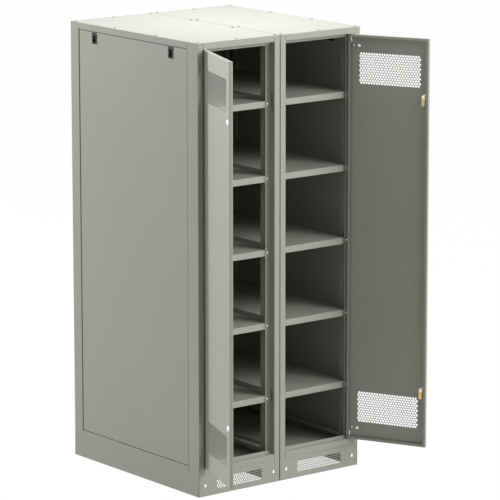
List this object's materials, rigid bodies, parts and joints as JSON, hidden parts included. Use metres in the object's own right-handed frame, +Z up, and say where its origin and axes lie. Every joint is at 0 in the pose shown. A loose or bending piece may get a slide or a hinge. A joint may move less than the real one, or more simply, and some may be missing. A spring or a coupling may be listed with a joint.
{
  "type": "battery cabinet",
  "caption": "Tall double-bay sheet-metal battery cabinet with vented hinged doors, hole-row corner posts, shelves and a ventilated plinth.",
  "frame": {"origin": "on the floor, at the middle of the four floor-anchor holes, which is the middle of the plinth", "axes": "+Z up along the height, the doors face -Y, +X to the right as seen from the front"},
  "size_m": [1.1211, 1.2901, 2.003],
  "materials": {
    "powder_coat": "fine matt pebble-grey powder coat",
    "zinc": "bright zinc plate",
    "black_plastic": "moulded black nylon",
    "brass": "yellow passivated"
  },
  "bodies": {
    "frame": {"joining_bolts": "zinc", "left_bottom_rails": "powder_coat", "left_floor": "powder_coat", "left_front_inner_post": "powder_coat", "left_front_outer_post": "powder_coat", "left_head_rail": "powder_coat", "left_hinge_bushes": "zinc", "left_latch_housings": "black_plastic", "left_plinth_frame": "powder_coat", "left_plinth_front": "powder_coat", "left_rear_inner_post": "powder_coat", "left_rear_outer_post": "powder_coat", "left_rear_panel": "powder_coat", "left_roof": "powder_coat", "left_shelf_1": "powder_coat", "left_shelf_2": "powder_coat", "left_shelf_3": "powder_coat", "left_shelf_4": "powder_coat", "left_shelf_5": "powder_coat", "left_side_panel": "powder_coat", "left_sill": "powder_coat", "left_top_rails": "powder_coat", "plinth_bolts": "zinc", "right_bottom_rails": "powder_coat", "right_floor": "powder_coat", "right_front_inner_post": "powder_coat", "right_front_outer_post": "powder_coat", "right_head_rail": "powder_coat", "right_hinge_bushes": "zinc", "right_latch_housings": "black_plastic", "right_plinth_frame": "powder_coat", "right_plinth_front": "powder_coat", "right_rear_inner_post": "powder_coat", "right_rear_outer_post": "powder_coat", "right_rear_panel": "powder_coat", "right_roof": "powder_coat", "right_shelf_1": "powder_coat", "right_shelf_2": "powder_coat", "right_shelf_3": "powder_coat", "right_shelf_4": "powder_coat", "right_shelf_5": "powder_coat", "right_side_panel": "powder_coat", "right_sill": "powder_coat", "right_top_rails": "powder_coat", "roof_screws": "zinc", "shelf_screws": "zinc"},
    "left_door": {"left_door": "powder_coat", "left_hinge_pins": "zinc", "left_lock_barrels": "zinc"},
    "left_upper_cam": {"left_upper_cam": "brass"},
    "left_lower_cam": {"left_lower_cam": "brass"},
    "left_front_latch": {"left_front_latch": "black_plastic"},
    "left_rear_latch": {"left_rear_latch": "black_plastic"},
    "right_door": {"right_door": "powder_coat", "right_hinge_pins": "zinc", "right_lock_barrels": "zinc"},
    "right_upper_cam": {"right_upper_cam": "brass"},
    "right_lower_cam": {"right_lower_cam": "brass"},
    "right_front_latch": {"right_front_latch": "black_plastic"},
    "right_rear_latch": {"right_rear_latch": "black_plastic"}
  },
  "joints": [
    {"name": "left_door_hinge", "type": "hinge", "parent": "frame", "child": "left_door", "pos_m": [-0.407, -0.4635, 1.05], "axis": [0, 0, -1], "range_deg": [-110.5, 9.5]},
    {"name": "left_upper_lock", "type": "hinge", "parent": "left_door", "child": "left_upper_cam", "pos_m": [-0.51833, -0.79554, 1.71], "axis": [-0.9367, 0.3502, 0], "range_deg": [0, 90]},
    {"name": "left_lower_lock", "type": "hinge", "parent": "left_door", "child": "left_lower_cam", "pos_m": [-0.51833, -0.79554, 0.39], "axis": [-0.9367, 0.3502, 0], "range_deg": [0, 90]},
    {"name": "left_front_latch_slide", "type": "slide", "parent": "frame", "child": "left_front_latch", "axis": [0, 0, -1], "range_m": [0, 0.008], "stiffness_N_per_m": 150, "springref_m": -0.004},
    {"name": "left_rear_latch_slide", "type": "slide", "parent": "frame", "child": "left_rear_latch", "axis": [0, 0, -1], "range_m": [0, 0.008], "stiffness_N_per_m": 150, "springref_m": -0.004},
    {"name": "right_door_hinge", "type": "hinge", "parent": "frame", "child": "right_door", "pos_m": [0.407, -0.4635, 1.05], "axis": [0, 0, 1], "range_deg": [-116, 4]},
    {"name": "right_upper_lock", "type": "hinge", "parent": "right_door", "child": "right_upper_cam", "pos_m": [0.54964, -0.78334, 1.71], "axis": [-0.8988, -0.4384, 0], "range_deg": [0, 90]},
    {"name": "right_lower_lock", "type": "hinge", "parent": "right_door", "child": "right_lower_cam", "pos_m": [0.54964, -0.78334, 0.39], "axis": [-0.8988, -0.4384, 0], "range_deg": [0, 90]},
    {"name": "right_front_latch_slide", "type": "slide", "parent": "frame", "child": "right_front_latch", "axis": [0, 0, -1], "range_m": [0, 0.008], "stiffness_N_per_m": 150, "springref_m": -0.004},
    {"name": "right_rear_latch_slide", "type": "slide", "parent": "frame", "child": "right_rear_latch", "axis": [0, 0, -1], "range_m": [0, 0.008], "stiffness_N_per_m": 150, "springref_m": -0.004}
  ]
}
